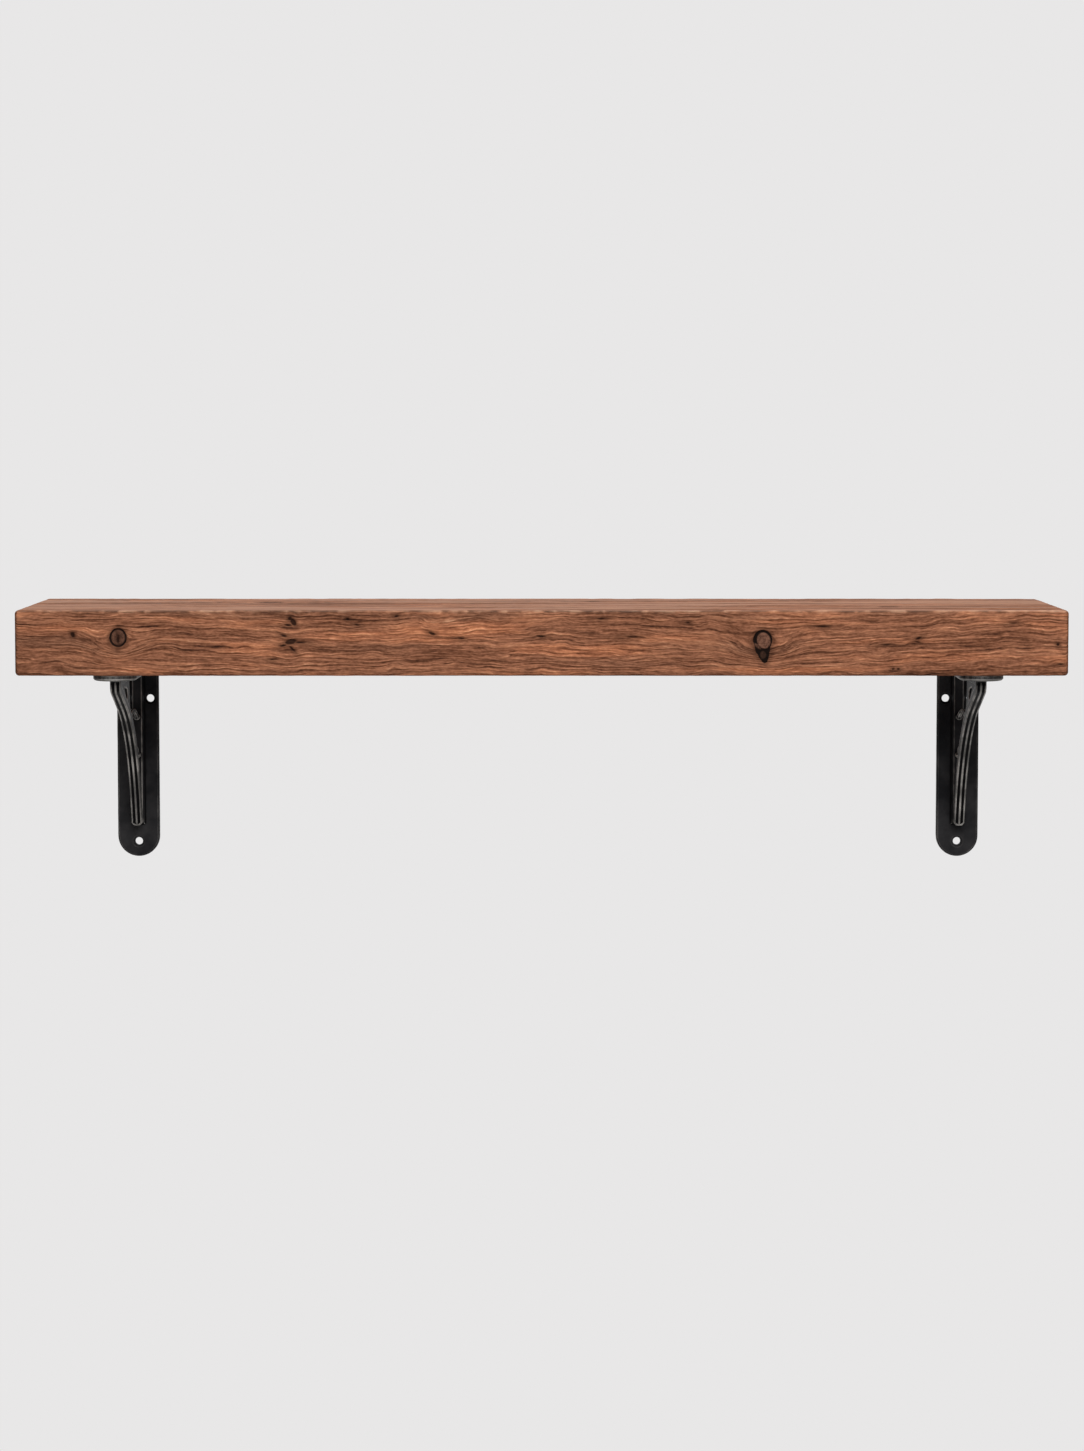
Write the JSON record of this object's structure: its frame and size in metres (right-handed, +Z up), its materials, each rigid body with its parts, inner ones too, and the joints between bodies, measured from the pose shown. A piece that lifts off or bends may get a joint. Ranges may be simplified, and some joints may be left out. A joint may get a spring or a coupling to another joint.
{
  "type": "bracket wall shelf",
  "caption": "Thick rustic timber board on black cast iron wall brackets with fluted curved braces, pierced webs and countersunk wall holes.",
  "frame": {"origin": "middle of the board's back face, on the wall plane", "axes": "+X along the board, -Y out from the wall towards the room, +Z up"},
  "size_m": [0.8, 0.15, 0.209],
  "materials": {
    "timber": "brushed and brown stained pine, dull sheen",
    "black_iron": "satin black paint, worn a little lighter on the ridges",
    "screw_steel": "blackened steel"
  },
  "bodies": {
    "root": {"shelf_board": "timber", "left_bracket": "black_iron", "right_bracket": "black_iron", "left_bracket_screws": "screw_steel", "right_bracket_screws": "screw_steel"}
  },
  "joints": []
}
